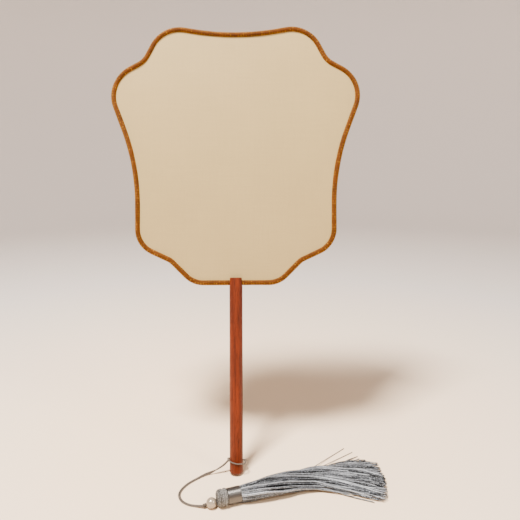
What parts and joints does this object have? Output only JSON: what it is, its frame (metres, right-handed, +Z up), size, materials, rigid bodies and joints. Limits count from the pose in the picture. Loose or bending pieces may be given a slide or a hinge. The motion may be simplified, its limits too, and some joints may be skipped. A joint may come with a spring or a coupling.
{
  "type": "hand fan",
  "caption": "Rigid hand fan with a scalloped silk head in a bound rim, a round wooden handle and a corded tassel with a pearl bead, leaning back with the tassel laid in front.",
  "frame": {"origin": "on the surface under the fan's foot, midway between the front and the back of the fan without its tassel, on the fan's middle plane", "axes": "+X to the fan's right as seen from the front, +Y to the back, the way the fan leans, +Z up"},
  "size_m": [0.2684, 0.1625, 0.4282],
  "materials": {
    "handle_wood": "satin varnish",
    "bamboo": "plain, matt",
    "brocade": "woven brocade with a slight sheen",
    "silk": "fine plain weave, matt",
    "lining_paper": "matt",
    "cord": "twisted cord, matt",
    "knot": "tight knot, matt",
    "pearl": "pearl lustre",
    "knitted_cap": "fine knotted cord, matt",
    "satin": "satin",
    "thread": "loose silky threads"
  },
  "bodies": {
    "fan": {"handle": "handle_wood", "hoop": "bamboo", "rim_binding": "brocade", "silk_front": "silk", "silk_back": "silk", "paper_lining": "lining_paper", "cord_strand_front": "cord", "cord_strand_back": "cord", "stop_knot": "knot", "cord_through_bead": "cord"},
    "bead": {"pearl_bead": "pearl"},
    "tassel": {"tassel_cap": "knitted_cap", "tassel_collar": "satin", "tassel_skirt": "thread", "cord_end_knot": "cord"}
  },
  "joints": [
    {"name": "bead_spin", "type": "hinge", "parent": "fan", "child": "bead", "pos_m": [-0.0195, -0.10052, 0.00475], "axis": [0.9474, 0.0829, 0.309], "continuous": true},
    {"name": "tassel_swing", "type": "hinge", "parent": "fan", "child": "tassel", "pos_m": [-0.0195, -0.10052, 0.00475], "axis": [0, 0, 1], "range_deg": [-60, 20]}
  ]
}
